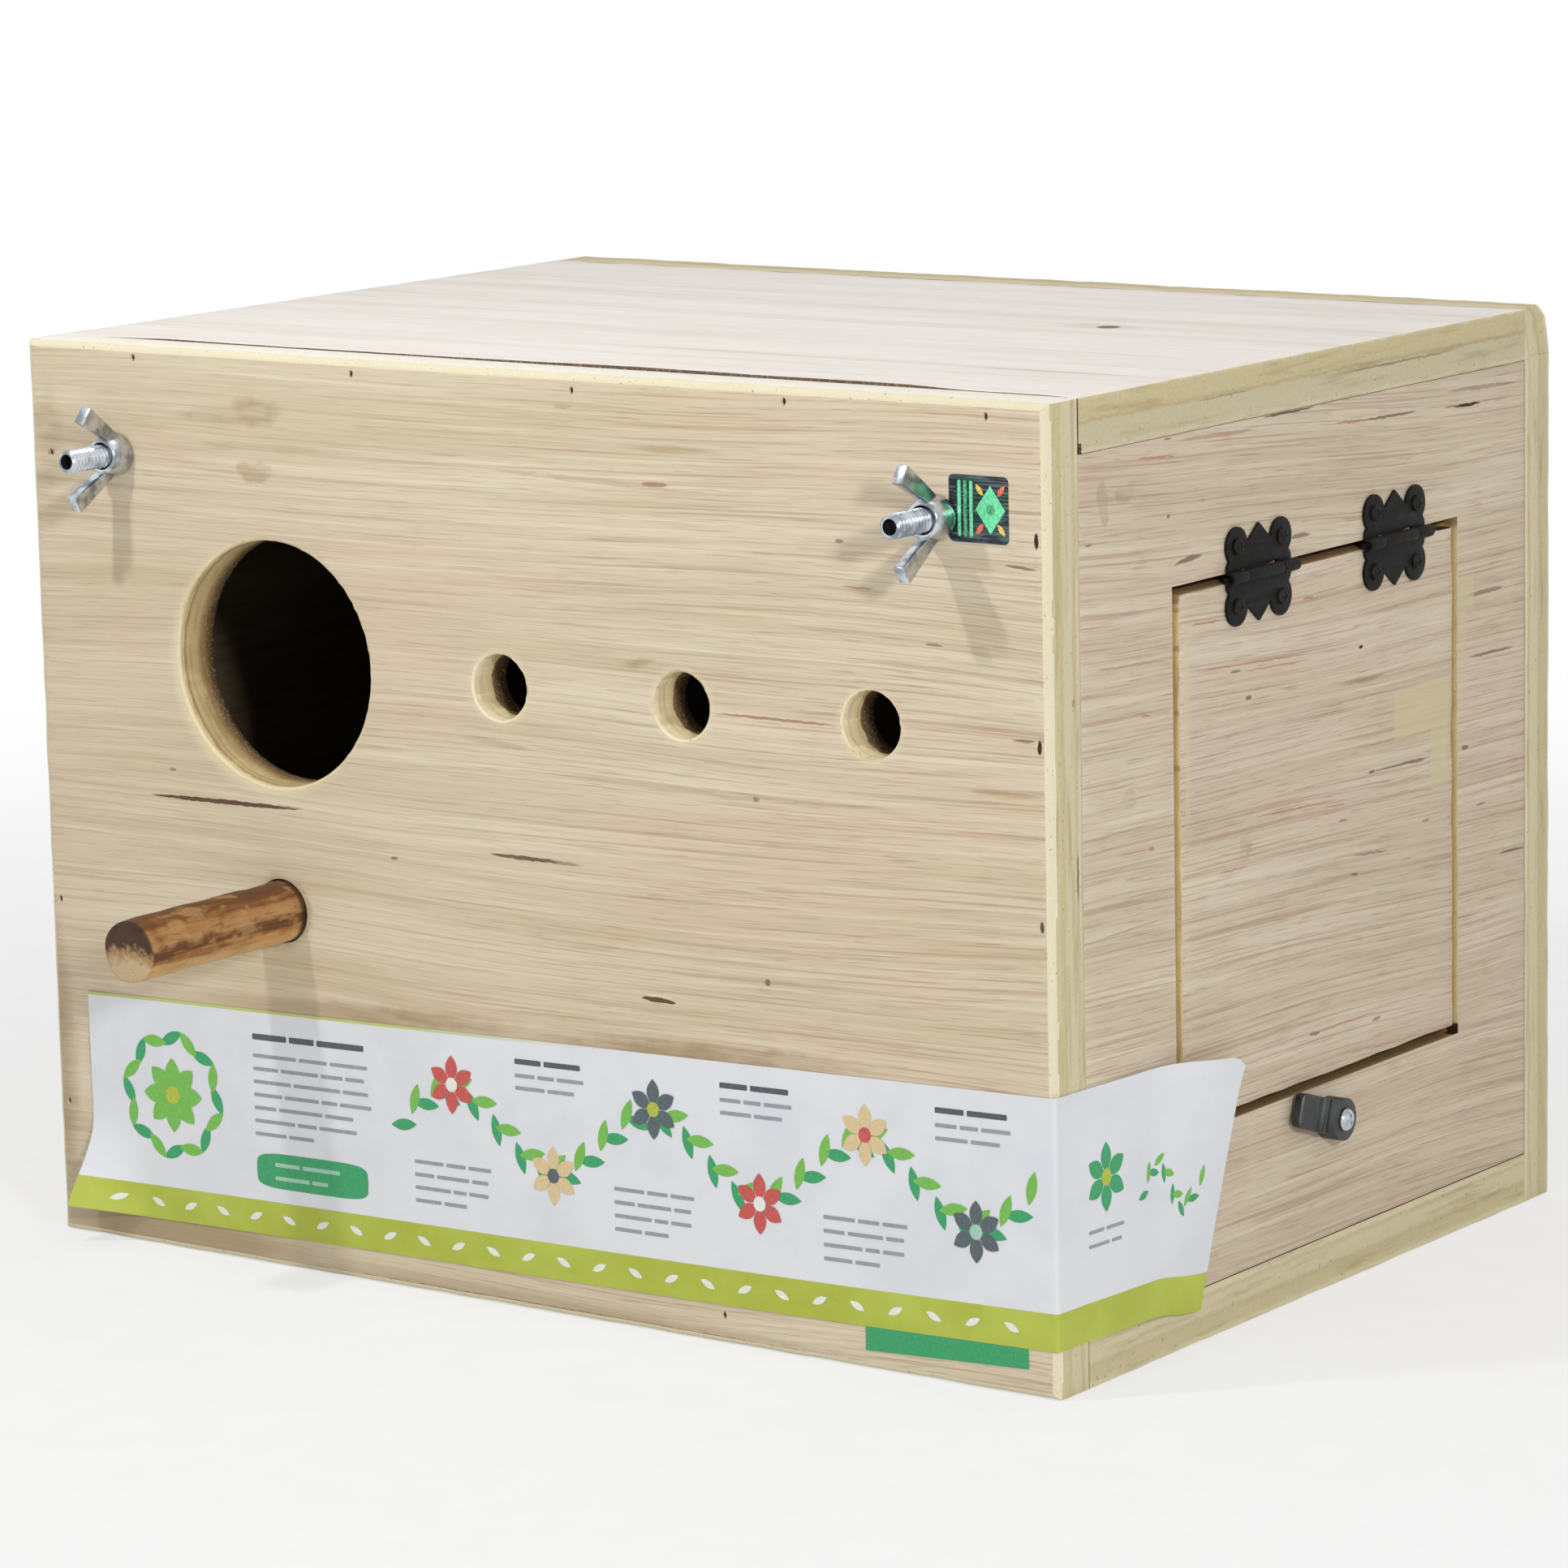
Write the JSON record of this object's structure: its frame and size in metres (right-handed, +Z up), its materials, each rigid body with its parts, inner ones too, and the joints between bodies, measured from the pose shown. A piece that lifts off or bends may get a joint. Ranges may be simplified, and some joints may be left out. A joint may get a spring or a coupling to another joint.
{
  "type": "bird breeding box",
  "caption": "Plywood nest box for cage birds with a round entrance, vent holes, a perch, a top-hung side door with a turn button, and wing nut bolts for hanging.",
  "frame": {"origin": "centre of the underside", "axes": "+Z up; -Y is the front with the entrance; +X is the side with the door, and the longest extent"},
  "size_m": [0.3119, 0.2856, 0.2286],
  "materials": {
    "plywood": "sanded, unvarnished",
    "perch_wood": "scorched brown dowel",
    "black_iron": "black, half matt",
    "zinc_plated_steel": "bright zinc",
    "black_plastic": "moulded"
  },
  "bodies": {
    "carcass": {"front_panel": "plywood", "back_panel": "plywood", "top_panel": "plywood", "bottom_panel": "plywood", "left_side_panel": "plywood", "right_side_panel": "plywood", "door_stop": "plywood", "perch": "perch_wood", "hinge_front_frame_leaf": "black_iron", "hinge_front_pin": "black_iron", "hinge_rear_frame_leaf": "black_iron", "hinge_rear_pin": "black_iron", "screw_front_frame_a": "black_iron", "screw_front_frame_b": "black_iron", "screw_rear_frame_a": "black_iron", "screw_rear_frame_b": "black_iron", "bolt_left": "zinc_plated_steel", "bolt_right": "zinc_plated_steel", "turn_button_screw": "zinc_plated_steel"},
    "door": {"side_door": "plywood", "hinge_front_door_leaf": "black_iron", "hinge_rear_door_leaf": "black_iron", "screw_front_door_a": "black_iron", "screw_front_door_b": "black_iron", "screw_rear_door_a": "black_iron", "screw_rear_door_b": "black_iron"},
    "left_wing_nut": {"wing_nut_left": "zinc_plated_steel"},
    "right_wing_nut": {"wing_nut_right": "zinc_plated_steel"},
    "latch": {"turn_button": "black_plastic"}
  },
  "joints": [
    {"name": "door_hinge", "type": "hinge", "parent": "carcass", "child": "door", "pos_m": [0.15425, 0.0028, 0.1797], "axis": [0, -1, 0], "range_deg": [0, 170]},
    {"name": "turn_button_spin", "type": "hinge", "parent": "carcass", "child": "latch", "pos_m": [0.1524, 0.004, 0.04245], "axis": [1, 0, 0], "continuous": true},
    {"name": "wing_nut_left_spin", "type": "hinge", "parent": "carcass", "child": "left_wing_nut", "pos_m": [-0.123, -0.1146, 0.2016], "axis": [0, -1, 0], "continuous": true},
    {"name": "wing_nut_right_spin", "type": "hinge", "parent": "carcass", "child": "right_wing_nut", "pos_m": [0.123, -0.1146, 0.2016], "axis": [0, -1, 0], "continuous": true}
  ]
}
